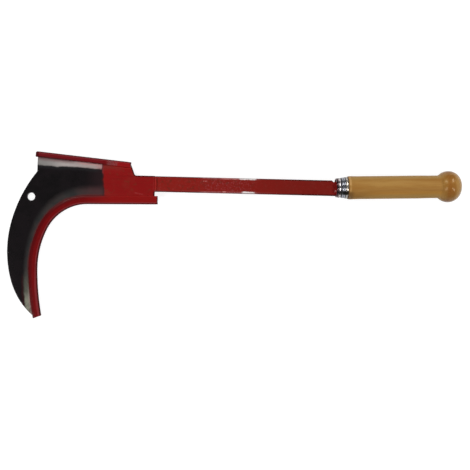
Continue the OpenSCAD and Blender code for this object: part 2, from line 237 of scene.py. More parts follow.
class Bench:
    """The shader nodes of one finish, put down and joined up one by one."""

    def __init__(self, holder: bpy.types.ID) -> None:
        """Clears the nodes.

        Args:
            holder: The new material or world that the nodes belong to.
        """
        holder.use_nodes = True
        self.holder = holder
        self.tree = holder.node_tree
        self.tree.nodes.clear()
        self.count = 0

    def put(self, kind: str, inputs: dict | None = None, **settings: object) -> Node:
        """Puts down one node.

        Args:
            kind: The node's type, without its ShaderNode prefix.
            inputs: What goes into its inputs, by their names or numbers.
            **settings: Values for the node's own properties.

        Returns:
            The new node.
        """
        node = self.tree.nodes.new("ShaderNode" + kind)
        node.location = (180 * (self.count % 12), -220 * (self.count // 12))
        self.count += 1
        for name, value in settings.items():
            setattr(node, name, value)
        for name, value in (inputs or {}).items():
            self.join(value, node.inputs[name])
        return node

    def join(self, source: object, target: Socket) -> None:
        """Links a socket to another, or writes a plain value on it.

        Args:
            source: An amount, a place or an output socket, or a plain number, vector or colour.
            target: The input socket.
        """
        if isinstance(source, (Amount, Place)):
            source = source.socket
        if isinstance(source, Socket):
            self.tree.links.new(source, target)
        else:
            target.default_value = source

    def sum(self, operation: str, *values: object) -> Amount:
        """Works out one sum on numbers, amounts or sockets."""
        return Amount(self, self.put("Math", dict(enumerate(values)), operation=operation).outputs[0])

    def most(self, *values: object) -> Amount:
        """Picks the greatest of some amounts, sockets or numbers.

        Args:
            *values: Two or more of them.

        Returns:
            The greatest one.
        """
        result = values[0]
        for value in values[1:]:
            result = self.sum("MAXIMUM", result, value)
        return result

    def place(self, turn: float = 0.0, shift: Triple = (0, 0, 0)) -> Place:
        """Gives the place on the piece, in millimetres.

        Args:
            turn: The turn about the vertical, in degrees.
            shift: What is added after the turn.

        Returns:
            The place.
        """
        where = self.put("TexCoord").outputs["Object"]
        rotation = (0, 0, math.radians(turn))
        inputs = {"Vector": where, "Scale": (MM, MM, MM), "Rotation": rotation, "Location": shift}
        return Place(self, self.put("Mapping", inputs).outputs[0])

    def lay(self, under: object, *coats: tuple[object, object]) -> Socket:
        """Lays colours over one another.

        Args:
            under: The lowest colour.
            *coats: The colours on top of it, in order, each with how much of it shows, from 0 to 1.

        Returns:
            The resulting colour's socket.
        """
        for over, share in coats:
            under = self.put("Mix", {0: share, 6: under, 7: over}, data_type="RGBA").outputs[2]
        return under

    def edge(self, radius: float) -> Socket:
        """Gives the surface's direction with its sharp edges rounded off by a radius in millimetres."""
        return self.put("Bevel", {"Radius": radius / MM}, samples=6).outputs[0]

    def rub(self, radius: float) -> Amount:
        """Tells how close a point is to a sharp outer edge, where a coat rubs off first and where painted
        edge shade goes.

        Args:
            radius: How far from the edge the rubbing reaches, in millimetres.

        Returns:
            The share, 0 away from an edge and rising to it.
        """
        straight = self.put("NewGeometry").outputs["Normal"]
        node = self.put("VectorMath", {0: self.edge(radius), 1: straight}, operation="DOT_PRODUCT")
        return Amount(self, node.outputs["Value"]).ease(0.995, 0.85)

    def relief(self, height: Amount, depth: float, strength: float, after: Socket | None = None) -> Socket:
        """Turns heights into a bumpy surface direction.

        Args:
            height: The height, from 0 to 1.
            depth: How high 1 stands, in millimetres.
            strength: The strength of the effect.
            after: The surface direction that it is added to.

        Returns:
            The new direction's socket.
        """
        inputs = {"Strength": strength, "Distance": depth / MM, "Height": height}
        if after is not None:
            inputs["Normal"] = after
        return self.put("Bump", inputs).outputs[0]

    def coat(
        self, colour: Socket, roughness: Amount, normal: Socket, metal: object = 0.0, **plain: object
    ) -> Material:
        """Puts the surface shader on and closes the material.

        Args:
            colour: The surface's colour.
            roughness: Its roughness.
            normal: Its direction.
            metal: How metallic it is, from 0 to 1.
            **plain: Other inputs of the shader, by their names with underscores, which are the same all over.

        Returns:
            The finished material.
        """
        inputs = {"Base Color": colour, "Roughness": roughness, "Normal": normal, "Metallic": metal}
        inputs.update({name.replace("_", " "): value for name, value in plain.items()})
        self.put("OutputMaterial", {"Surface": self.put("BsdfPrincipled", inputs).outputs[0]})
        return self.holder


class Survey:
    """What a finish's layers are laid out by: the place on the piece, a broad noise and a fine one."""

    def __init__(self, where: Place, broad: Amount, fine: Amount) -> None:
        """Keeps the readings together.

        Args:
            where: The place on the piece.
            broad: The broad noise.
            fine: The fine noise.
        """
        self.bench = where.bench
        self.where = where
        self.x, self.y, self.z = where.axes()
        self.broad = broad
        self.fine = fine


@dataclass(frozen=True)
class Bar:
    """The flat bar's own plane, tilted at a bend ahead of the ferrule, in millimetres and degrees."""

    tilt: float = 2.0
    bend: float = -86.0
    half: float = 9.9

    def place(self, bench: Bench, ahead: float = 0.0) -> Place:
        """Gives the place along and across the bar.

        Args:
            bench: The finish's nodes.
            ahead: Where the place is counted from, as the distance ahead of the bend.

        Returns:
            The place, which grows towards the grip.
        """
        turn = math.radians(self.tilt)
        return bench.place(self.tilt, (ahead - self.bend * math.cos(turn), -self.bend * math.sin(turn), 0))


@dataclass(frozen=True)
class Arc:
    """One arc of the hook's edge, in millimetres and radians in the plate's own plane."""

    centre: Pair
    radius: float
    start: Pair
    heading: float
    length: float

    @property
    def forward(self) -> Pair:
        """The direction in which it starts."""
        return (math.cos(self.heading), math.sin(self.heading))


@dataclass(frozen=True)
class Plate:
    """Where the plate's edges run, so that a finish can be measured from them, in millimetres and degrees."""

    bar: Bar = Bar()
    reach: float = 213.5
    hook_start: Pair = (0.0, -23.9)
    hook_heading: float = 181.1
    hook_straight: float = 85.0
    hook_arcs: Points = ((60.0, 63.2), (115.0, 26.5), (330.0, 10.4))
    back_start: Pair = (-31.0, 24.5)
    back_slope: float = 5.35

    def arcs(self) -> list[Arc]:
        """Walks along the hook's edge.

        Returns:
            Its arcs in order, from the straight to the tip.
        """
        heading = math.radians(self.hook_heading)
        x = self.hook_start[0] + self.hook_straight * math.cos(heading)
        y = self.hook_start[1] + self.hook_straight * math.sin(heading)
        found = []
        for radius, sweep in self.hook_arcs:
            turn = math.radians(sweep)
            centre = (x - radius * math.sin(heading), y + radius * math.cos(heading))
            found.append(Arc(centre, radius, (x, y), heading, radius * turn))
            heading += turn
            x = centre[0] + radius * math.sin(heading)
            y = centre[1] - radius * math.cos(heading)
        return found

    def place(self, bench: Bench) -> Place:
        """Gives the place in the plate's own plane, counted from the plate's end on the bar."""
        return self.bar.place(bench, self.reach)

    def depth(self, where: Place, edge: Grind) -> Amount:
        """Gives the distance from one of the ground edges into the plate.

        Args:
            where: The place in the plate's plane.
            edge: The edge that it is measured from.

        Returns:
            The distance, in millimetres.
        """
        if edge is Grind.BACK:
            slope = math.radians(self.back_slope)
            return where.ahead(self.back_start, (-math.sin(slope), -math.cos(slope)))
        heading = math.radians(self.hook_heading)
        distance = where.ahead(self.hook_start, (math.sin(heading), -math.cos(heading)))
        flat = where.stretch((1, 1, 0))
        for arc in self.arcs():
            beyond = where.ahead(arc.start, arc.forward)
            distance = beyond.positive().pick(distance, flat.away(arc.centre) - arc.radius)
        return distance

    def run(self, where: Place) -> Amount:
        """Gives the distance along the hook's edge from the plate's end.

        Args:
            where: The place in the plate's plane.

        Returns:
            The distance, in millimetres.
        """
        heading = math.radians(self.hook_heading)
        gone = where.ahead(self.hook_start, (math.cos(heading), math.sin(heading)))
        before = self.hook_straight
        for arc in self.arcs():
            beyond = where.ahead(arc.centre, arc.forward)
            outward = where.ahead(arc.centre, (arc.forward[1], -arc.forward[0]))
            turned = where.bench.sum("ARCTAN2", beyond, outward) * arc.radius
            gone = beyond.positive().pick(gone, turned + before)
            before += arc.length
        return gone


class PlateSurvey(Survey):
    """The plate's readings, with the distances from its two edges."""

    def __init__(self, bench: Bench, plate: Plate) -> None:
        """Takes the readings.

        Args:
            bench: The finish's nodes.
            plate: Where the plate's edges run.
        """
        where = plate.place(bench)
        super().__init__(where, where.cloud(14.0, 4.0, 0.55), where.cloud(1.6, 3.0, 0.6))
        self.plate = plate
        self.shaken = where.wander(9.0, 1.2)
        self.back = plate.depth(where, Grind.BACK)
        self.hook = plate.depth(where, Grind.HOOK)


@dataclass(frozen=True)
class RootPaint:
    """The red paint over the plate's root, with painted shade along its edges and painted light beside the
    guards' lips.
    """

    red: Tint = tint(134, 20, 20)
    brick: Tint = tint(128, 42, 34)
    maroon: Tint = tint(96, 18, 18)
    flecks: Tint = tint(150, 32, 30)
    faded: Tint = tint(120, 46, 40)
    rust: Tint = tint(108, 44, 28)
    # Painted light: a lighter red beside the guards' lips, where their shadow falls
    fill_light_red: Tint = tint(160, 32, 29)
    # Painted shade along the shoulder, top and end edges
    border: Tint = tint(52, 10, 14)
    # Painted highlight on the plate's end edge by the weld
    end_highlight: Tint = tint(160, 62, 58)
    scratch: Tint = tint(186, 92, 92)
    seam_low: Tint = tint(66, 22, 24)
    seam_high: Tint = tint(124, 40, 42)
    slope: float = 21.0
    paint_end: float = -64.2
    lean: float = 0.04
    end_highlight_along: Band = (-2.2, -1.1, 0.8)
    scratch_along: Band = (-25.5, -13.5, 2.0)
    scratch_across: Band = (-17.4, -15.8, 0.9)
    scratch_rise: float = 0.18

    def lay(self, at: PlateSurvey, under: Socket) -> Socket:
        """Lays the paint on.

        Args:
            at: The plate's readings.
            under: The colour below.

        Returns:
            The resulting colour.
        """
        bench, y = at.bench, at.y
        edge = at.shaken.axes()[0] + y * self.lean + at.where.cloud(6.0) * 3.0 - 1.5
        high = y.ease(8.0, 13.0)
        seam = bench.lay(self.seam_low, (self.seam_high, high))
        at_seam = edge.ease(self.paint_end - 3.2, self.paint_end - 0.8)
        under = bench.lay(under, (seam, at_seam * high.pick(0.75, 1.0)))
        red = self.mark(at, self.weather(at))
        return bench.lay(under, (red, edge.ease(self.paint_end - 1.3, self.paint_end + 0.8)))

    def weather(self, at: PlateSurvey) -> Socket:
        """Mixes the paint's reds, faded and rusty in places, with painted light beside the guards' lips
        against their shadow.

        Args:
            at: The plate's readings.

        Returns:
            The mixed red.
        """
        bench, x, clouds = at.bench, at.x, at.broad
        brushed = at.where.stretch((0.03, 0.4, 0.4)).cloud(1.0, 4.0, 0.6)
        rusty = at.where.cloud(4.5, 4.0, 0.6)
        by_guard = (at.y + clouds * 4.0).ease(16.0, 22.5) * x.ease(-36.0, -54.0)
        # Painted light beside the back and hook guards' lips, against the shadow that the lips cast
        by_back_lip = at.back.ease(6.8, 5.6) * x.ease(-60.0, -50.0)
        by_hook_lip = at.hook.ease(10.0, 8.8) * 0.5
        return bench.lay(
            self.red,
            (self.brick, clouds.ease(0.5, 0.75) * 0.4),
            (self.maroon, brushed.ease(0.52, 0.8) * 0.45),
            (self.flecks, at.fine.ease(0.6, 0.85) * 0.25),
            (self.faded, by_guard * 0.6),
            (self.rust, rusty.ease(0.54, 0.72) * 0.5),
            (self.fill_light_red, bench.most(by_back_lip, by_hook_lip) * 0.9),
        )

    def mark(self, at: PlateSurvey, red: Socket) -> Socket:
        """Adds painted shade along the edges, a painted highlight on the plate's end by the weld, and one
        scratch.

        Args:
            at: The plate's readings.
            red: The paint's colour.

        Returns:
            The resulting colour.
        """
        bench, x, y, specks = at.bench, at.x, at.y, at.fine
        half, slope = at.plate.bar.half, math.radians(self.slope)
        out = at.where.ahead(at.plate.back_start, (math.cos(slope), math.sin(slope)))
        # Painted shade: the edges down the shoulder, along the top and at the end are darkened
        sloped = out.ease(-2.1, -0.9) * y.ease(8.6, 10.4)
        top = y.ease(half - 1.9, half - 0.9) * x.ease(-25.0, -23.0)
        end = x.ease(-2.4, -1.2) * y.ease(-9.0, -11.0)
        # Painted highlight: a faint pale line along the plate's end edge by the weld
        end_highlight = x.between(*self.end_highlight_along) * y.ease(-9.0, -7.0) * specks.ease(0.35, 0.6)
        scratch = (y + x * self.scratch_rise).between(*self.scratch_across) * x.between(*self.scratch_along)
        return bench.lay(
            red,
            (self.border, bench.most(sloped, top, end) * 0.85),
            (self.end_highlight, end_highlight * 0.25),
            (self.scratch, scratch * specks.ease(0.4, 0.55) * 0.22),
        )


@dataclass(frozen=True)
class BackGrind:
    """The bare ground strip along the back edge, rosy by its guard."""

    halo: Tint = tint(34, 34, 36)
    dull: Tint = tint(128, 125, 122)
    steel: Tint = tint(167, 158, 155)
    warm: Tint = tint(156, 136, 132)
    rosy: Tint = tint(166, 112, 112)
    streak: Tint = tint(184, 180, 174)
    pits: Tint = tint(96, 82, 78)
    # Painted shade on the strip beside the guard's lip
    strip_lip_shade: Tint = tint(106, 72, 72)
    pink_lip: Tint = tint(180, 134, 132)
    grain_turn: float = -5.5
    widths: Points = (
        (-150.0, 14.7), (-141.0, 14.8), (-133.0, 13.8), (-127.0, 14.2), (-121.0, 13.7),
        (-115.0, 12.6), (-109.0, 12.2), (-100.0, 11.8), (-80.0, 11.1), (-66.0, 10.6),
    )

    def lay(self, at: PlateSurvey, under: Socket) -> tuple[Socket, Amount]:
        """Lays the strip on.

        Args:
            at: The plate's readings.
            under: The colour below.

        Returns:
            The resulting colour, and the strip's mask.
        """
        bench, x, clouds = at.bench, at.x, at.broad
        back = at.plate.depth(at.shaken, Grind.BACK)
        inside = x.curve(self.widths) - back
        strip = inside.ease(-1.3, 1.1) * at.shaken.axes()[0].ease(-66.8, -68.4)
        halo = inside.ease(-6.5, -1.0) * inside.ease(1.2, -0.2) * x.ease(-68.0, -76.0)
        streaks = at.where.stretch((0.1, 0.8, 0.8), self.grain_turn).cloud(1.0, 3.0)
        by_heel = (x + clouds * 10.0).ease(-84.0, -106.0)
        ground = bench.lay(
            self.dull,
            (self.steel, (x + clouds * 14.0).ease(-136.0, -106.0)),
            (self.warm, (x + clouds * 20.0).ease(-102.0, -70.0) * 0.6),
            (self.rosy, (x + clouds * 8.0).ease(-76.0, -60.0) * 0.85),
            (self.streak, streaks.ease(0.55, 0.85) * 0.4),
            (self.pits, at.fine.ease(0.45, 0.25) * 0.3),
            # Painted shade: the strip darker beside the guard's lip, towards the heel
            (self.strip_lip_shade, back.ease(10.4, 5.2) * by_heel * 0.9),
            (self.pink_lip, back.ease(8.6, 6.4) * x.ease(-106.0, -92.0) * 0.75),
        )
        return bench.lay(under, (self.halo, halo * 0.7), (ground, strip)), strip


@dataclass(frozen=True)
class HookGrind:
    """The worn band along the hook's edge, dark along the bend and bright by the tip."""

    worn: Tint = tint(44, 45, 45)
    grey: Tint = tint(56, 51, 50)
    olive: Tint = tint(80, 81, 72)
    pale: Tint = tint(130, 131, 116)
    rosy: Tint = tint(160, 134, 128)
    furrow: Tint = tint(88, 80, 74)
    # Bright grind streaks, partly real polish lines and partly a painted glint
    streak: Tint = tint(180, 172, 162)
    brown: Tint = tint(76, 48, 50)
    blush: Tint = tint(104, 34, 34)
    stain: Tint = tint(46, 20, 23)
    streak_turn: float = 38.0
    furrow_turn: float = -48.0
    stain_along: Band = (214.0, 256.0, 10.0)
    stain_beside: Band = (0.0, 3.2, 1.8)
    widths: Points = (
        (60.0, 18.6), (86.0, 18.2), (108.0, 17.4), (132.0, 15.6), (168.0, 13.9),
        (190.0, 13.6), (204.0, 14.1), (235.0, 15.1), (264.0, 15.8),
    )
    borders: Points = ((60.0, 5.2), (110.0, 5.0), (168.0, 3.8), (204.0, 2.8), (235.0, 1.6), (264.0, 1.3))

    def lay(self, at: PlateSurvey, under: Socket) -> tuple[Socket, Amount]:
        """Lays the band on.

        Args:
            at: The plate's readings.
            under: The colour below.

        Returns:
            The resulting colour, and the band's mask.
        """
        bench, clouds = at.bench, at.broad
        run = at.plate.run(at.where)
        hook = at.plate.depth(at.shaken, Grind.HOOK)
        width = run.curve(self.widths)
        band = ((width - hook) / run.curve(self.borders)).ease(-1.0, 1.0) * run.ease(61.0, 68.0)
        wave = run + clouds * 8.0 - 4.0
        streaks = at.where.stretch((0.1, 0.9, 0.9), self.streak_turn).cloud(1.0, 3.0)
        furrows = at.where.stretch((0.06, 0.62, 0.3), self.furrow_turn).cloud(1.0, 1.0)
        stain = (hook - width).between(*self.stain_beside) * run.between(*self.stain_along)
        honed = bench.lay(
            self.worn,
            (self.grey, clouds.ease(0.35, 0.65)),
            (self.olive, wave.ease(204.0, 230.0)),
            (self.pale, wave.ease(228.0, 246.0)),
            (self.rosy, hook.ease(11.4, 9.6) * wave.ease(222.0, 244.0) * 0.65),
            (self.furrow, furrows.ease(0.47, 0.6) * run.ease(242.0, 252.0) * 0.7),
            # Bright streaks near the tip: partly real polish lines, partly a painted glint
            (self.streak, streaks.ease(0.5, 0.8) * wave.ease(200.0, 250.0) * 0.45),
            (self.brown, run.ease(104.0, 72.0) * 0.8),
            (self.blush, hook.ease(11.6, 8.0) * run.ease(190.0, 240.0).pick(0.7, 0.2)),
        )
        return bench.lay(under, (self.stain, stain * 0.75), (honed, band)), band


@dataclass(frozen=True)
class PlateSteel:
    """The plate's finish: black scale, red paint by the shank, and bare steel where it is ground."""

    plate: Plate = Plate()
    root_paint: RootPaint = RootPaint()
    back_grind: BackGrind = BackGrind()
    hook_grind: HookGrind = HookGrind()
    black: Tint = tint(23, 19, 21)
    soot: Tint = tint(16, 14, 15)
    scale: Tint = tint(34, 27, 29)
    warm_black: Tint = tint(40, 27, 30)
    hole_rim: Tint = tint(44, 41, 43)
    bright: Tint = tint(150, 149, 145)
    scratched: Tint = tint(106, 105, 103)
    # Painted shade along the ground strips' outer edges
    edge_shade_grey: Tint = tint(40, 39, 36)
    rubbed_edge: Tint = tint(96, 88, 86)
    hole: Pair = (-156.4, -20.1)
    hole_dent: Band = (6.6, 8.0, 1.4)
    back_bare: Pair = (4.5, 3.9)
    hook_bare: Pair = (7.2, 6.6)
    grain_turn: float = 20.0

    def make(self) -> Material:
        """Builds the finish.

        Returns:
            The material.
        """
        at = PlateSurvey(Bench(bpy.data.materials.new("plate_steel")), self.plate)
        bench, clouds, specks = at.bench, at.broad, at.fine
        colour = self.root_paint.lay(at, self.blacken(at))
        colour, strip = self.back_grind.lay(at, colour)
        colour, band = self.hook_grind.lay(at, colour)
        worn = bench.most(strip, band)

        bare = bench.most(at.back.ease(*self.back_bare), at.hook.ease(*self.hook_bare))
        scratches = at.where.stretch((0.9, 0.04, 0.9), self.grain_turn).cloud(1.0, 3.0, 0.6)
        bevel = bench.lay(self.bright, (self.scratched, scratches.ease(0.3, 0.7)))
        # Painted shade: the ground strips darker close to the plate's outer edges
        rim = bench.rub(2.2) * worn * at.back.ease(6.8, 8.0) * at.hook.ease(9.3, 10.5)
        rubbed = bench.rub(0.35) * specks.ease(0.45, 0.7)
        colour = bench.lay(
            colour,
            (bevel, bare),
            (self.edge_shade_grey, rim * 0.85),
            (self.rubbed_edge, rubbed * 0.25),
        )

        roughness = bench.most(strip, bare).pick(clouds.spread(0.13, 0.2), scratches.spread(0.36, 0.46))
        normal = bench.relief(specks * 0.25 + clouds, 0.05, 0.35, bench.edge(0.25))
        normal = bench.relief(scratches * bench.most(bare, strip * 0.4), 0.03, 0.5, normal)
        return bench.coat(colour, roughness, normal, bare * 0.85, Specular_IOR_Level=0.24)

    def blacken(self, at: PlateSurvey) -> Socket:
        """Mixes the black scale, warmer by the paint and dented round the hanging hole.

        Args:
            at: The plate's readings.

        Returns:
            The mixed black.
        """
        bench, clouds = at.bench, at.broad
        dent = at.shaken.away(self.hole).between(*self.hole_dent) * clouds.ease(0.4, 0.6)
        return bench.lay(
            self.black,
            (self.soot, clouds.ease(0.35, 0.7)),
            (self.scale, at.fine.ease(0.55, 0.8) * 0.35),
            (self.warm_black, (at.x + clouds * 16.0).ease(-84.0, -60.0) * 0.8),
            (self.hole_rim, dent * 0.6),
        )


@dataclass(frozen=True)
class RedPaint:
    """Red paint on the shank, with chips to the bare metal at its edges."""

    name: str = "shank_paint"
    red: Tint = tint(136, 27, 21)
    far: Tint = tint(116, 22, 15)
    faded: Tint = tint(142, 52, 48)
    dark: Tint = tint(92, 18, 16)
    flecks: Tint = tint(142, 44, 38)
    rust: Tint = tint(98, 36, 24)
    # Painted light on the bar by the ferrule, against the handle's shadow
    fill_light_red: Tint = tint(152, 26, 26)
    # Painted highlight along the bar's rounded lower edge
    low_edge_highlight: Tint = tint(136, 64, 60)
    # Painted shade along the bar's long edges
    rim: Tint = tint(70, 16, 22)
    shade: Tint = tint(56, 12, 10)
    bloom: Tint = tint(170, 112, 112)
    chip: Tint = tint(236, 228, 226)
    pink: Tint = tint(196, 124, 120)
    chip_rim: Tint = tint(84, 52, 52)
    scuff: Tint = tint(150, 74, 80)
    bar: Bar = Bar()
    edging: float = 1.0
    low_edge_highlight_across: Band = (-9.3, -7.6, 1.0)
    bloom_along: Band = (-154.0, -82.0, 10.0)
    scuffs_along: Band = (-152.0, -88.0, 16.0)
    rosy_top: Band = (-129.0, -104.0, 5.0)
    rosy_low: Band = (-127.0, -123.0, 2.0)
    bare_top: Band = (-106.0, -85.0, 4.0)
    bare_low: Band = (-102.0, -87.0, 4.0)
    plate_spot: tuple[Band, Band] = ((-152.0, -147.6, 1.5), (4.2, 5.8, 0.9))
    # Painted highlight on the bar's end at the ferrule
    ferrule_highlight: tuple[Band, Band] = ((15.4, 17.8, 0.8), (-4.8, -2.4, 1.0))

    def make(self) -> Material:
        """Builds the finish.

        Returns:
            The material.
        """
        bench = Bench(bpy.data.materials.new(self.name))
        where = self.bar.place(bench)
        at = Survey(where, where.cloud(16.0, 4.0, 0.55), where.cloud(1.3, 3.0, 0.6))
        colour = self.chip_edges(at, self.line_edges(at, self.weather(at)))
        colour = bench.lay(colour, (self.pink, bench.rub(0.5) * at.fine.ease(0.58, 0.72) * 0.3))
        normal = bench.relief(at.fine * 0.4 + at.broad, 0.06, 0.4, bench.edge(0.4))
        return bench.coat(colour, at.broad.spread(0.2, 0.3), normal, Specular_IOR_Level=0.28)

    def weather(self, at: Survey) -> Socket:
        """Mixes the paint's reds, darker and rustier towards the plate, with painted light by the ferrule and
        a painted highlight along the lower edge.

        Args:
            at: The shank's readings.

        Returns:
            The mixed red.
        """
        bench, x = at.bench, at.x
        brushed = at.where.stretch((0.03, 0.45, 0.45)).cloud(1.0, 4.0, 0.6)
        worn = at.where.cloud(3.2, 4.0, 0.65)
        rusty = at.where.cloud(4.0, 4.0, 0.65)
        by_plate = x.ease(-70.0, -110.0).spread(0.35, 1.0)
        # Painted highlight: a lighter line just inside the bar's lower edge, by the plate
        low_edge_highlight = at.y.between(*self.low_edge_highlight_across) * brushed.ease(0.35, 0.55) * x.ease(-34.0, -58.0)
        return bench.lay(
            self.red,
            (self.far, (x + at.broad * 30.0).ease(-190.0, 20.0)),
            (self.faded, worn.ease(0.5, 0.75) * by_plate * 0.7),
            (self.dark, brushed.ease(0.55, 0.85) * 0.4),
            (self.flecks, at.fine.ease(0.62, 0.85) * 0.25),
            (self.rust, rusty.ease(0.5, 0.72) * by_plate * 0.8),
            # Painted light: the bar lighter by the ferrule, where the handle's shadow falls
            (self.fill_light_red, x.ease(8.0, 17.0) * 0.7),
            (self.low_edge_highlight, low_edge_highlight * 0.6),
        )

    def line_edges(self, at: Survey, colour: Socket) -> Socket:
        """Darkens the bar's long edges with painted shade, and pales them in specks by the plate.

        Args:
            at: The shank's readings.
            colour: The colour below.

        Returns:
            The resulting colour.
        """
        bench, x, past_edge = at.bench, at.x, abs(at.y) - self.bar.half
        # Painted shade: a dark line along both long edges and a softer shade just inside them
        rim = past_edge.ease(-1.5, -0.7) * x.ease(2.0, -3.0)
        shade = past_edge.ease(-2.1, -1.4) * x.ease(-66.0, -14.0)
        bloom = past_edge.ease(-2.6, -1.4) * x.between(*self.bloom_along)
        return bench.lay(
            colour,
            (self.rim, rim * (0.8 * self.edging)),
            (self.shade, shade * (0.7 * self.edging)),
            (self.bloom, bloom * at.fine.ease(0.36, 0.56) * (0.6 * self.edging)),
        )

    def chip_edges(self, at: Survey, colour: Socket) -> Socket:
        """Chips the paint off the edges by the plate, with a pink spot, a painted highlight by the ferrule
        and some scuffs.

        Args:
            at: The shank's readings.
            colour: The colour below.

        Returns:
            The resulting colour.
        """
        bench, x, y, specks = at.bench, at.x, at.y, at.fine
        past_edge = abs(y) - self.bar.half
        top, low = y.ease(-1.0, 1.0), y.ease(1.0, -1.0)
        jagged = past_edge + specks * 2.4 + at.where.cloud(4.0) * 1.6
        worn = (jagged + low * 0.8).ease(-0.2, 0.5)
        rosy = bench.most(top * x.between(*self.rosy_top), low * x.between(*self.rosy_low))
        bare = bench.most(top * x.between(*self.bare_top), low * x.between(*self.bare_low))
        lip = past_edge.ease(-1.2, -0.7) * bench.most(rosy, bare) * low.pick(0.5, 0.85)
        plate_spot, ferrule_highlight = (
            x.between(*along) * y.between(*across) for along, across in (self.plate_spot, self.ferrule_highlight)
        )
        # The spot by the ferrule is a painted highlight
        spots = bench.most(plate_spot * specks.ease(0.42, 0.52), ferrule_highlight)
        spots = spots * x.ease(-10.0, 0.0).pick(0.45, 0.8)
        scuffs = at.where.cloud(1.8, 3.0, 0.65).ease(0.53, 0.68) * x.between(*self.scuffs_along)
        return bench.lay(
            colour,
            (self.pink, worn * rosy * 0.8),
            (self.chip, worn * bare),
            (self.chip_rim, lip),
            (self.pink, spots),
            (self.scuff, scuffs * (0.5 * self.edging)),
        )


@dataclass(frozen=True)
class ChromePlate:
    """Bright plating on the ferrule, with painted shade in its grooves, each given as a middle and a half
    width, and painted highlights and reflections on its beads and mouth.
    """

    mouth: float
    shine: Tint = tint(166, 168, 176)
    dull: Tint = tint(104, 98, 96)
    # Painted highlights: brighter plating on the broad bead and a warmer, brighter rim bead
    broad_bead_highlight: Tint = tint(214, 204, 204)
    rim: Tint = tint(206, 196, 182)
    # Painted shade on the beads towards the ferrule's sides
    sides: Tint = tint(140, 138, 136)
    # Painted reflection of the red bar in the ferrule's mouth
    mouth_red_reflection: Tint = tint(64, 22, 28)
    # Painted shade in the grooves
    groove_shade: Tint = tint(40, 40, 44)
    # Painted reflection of the dark room on one side of the ferrule
    dark_reflection: Tint = tint(44, 40, 26)
    bead_along: Band = (1.9, 5.4, 0.4)
    bead_sides: Band = (1.9, 5.0, 0.4)
    rim_start: Pair = (11.4, 12.2)
    mouth_end: Pair = (3.2, 2.4)
    dark_reflection_across: Band = (-9.4, -5.2, 1.2)
    dark_reflection_gap: Band = (5.6, 7.6, 1.0)
    grooves: Points = ((1.7, 0.25), (6.3, 1.1), (9.0, 0.45), (11.25, 0.6), (14.7, 0.35))
    groove_shade_soft: float = 0.5

    def make(self) -> Material:
        """Builds the finish.

        Returns:
            The material.
        """
        bench = Bench(bpy.data.materials.new("bright_plating"))
        where = bench.place(shift=(-self.mouth, 0, 0))
        x, y, z = where.axes()
        clouds = where.cloud(4.0, 3.0)
        turned = where.stretch((6.0, 0.7, 0.7)).cloud(1.0, 3.0)
        rim = x.ease(*self.rim_start)
        # Painted shade: the beads greyer towards the sides, against the floor mirrored there
        sides = abs(y).ease(8.0, 12.0) * bench.most(x.between(*self.bead_sides), rim)
        # The grooves: painted shade in the colour, and rougher plating
        grime = bench.most(
            *(x.between(middle - half, middle + half, self.groove_shade_soft) for middle, half in self.grooves)
        )
        # Painted reflection: dark patches on one side, where the chrome mirrors the dark room
        dark_reflection = (y + clouds * 1.6 - 0.8).between(*self.dark_reflection_across) * z.ease(0.0, 5.0) * x.ease(2.2, 3.4)
        dark_reflection = dark_reflection * x.between(*self.dark_reflection_gap).spread(1.0, 0.45)
        colour = bench.lay(
            self.shine,
            (self.dull, clouds.ease(0.55, 0.85) * 0.3),
            # Painted highlights on the broad bead and the rim bead
            (self.broad_bead_highlight, x.between(*self.bead_along)),
            (self.rim, rim),
            (self.sides, sides * 0.9),
            # Painted reflection: the mouth dark red, as the bar mirrored in the chrome
            (self.mouth_red_reflection, x.ease(*self.mouth_end) * 0.92),
            (self.groove_shade, grime * 0.85),
            (self.dark_reflection, dark_reflection * 0.85),
        )
        roughness = clouds.spread(0.22, 0.28) + grime * 0.2
        return bench.coat(colour, roughness, bench.relief(turned, 0.01, 0.4), 1.0)


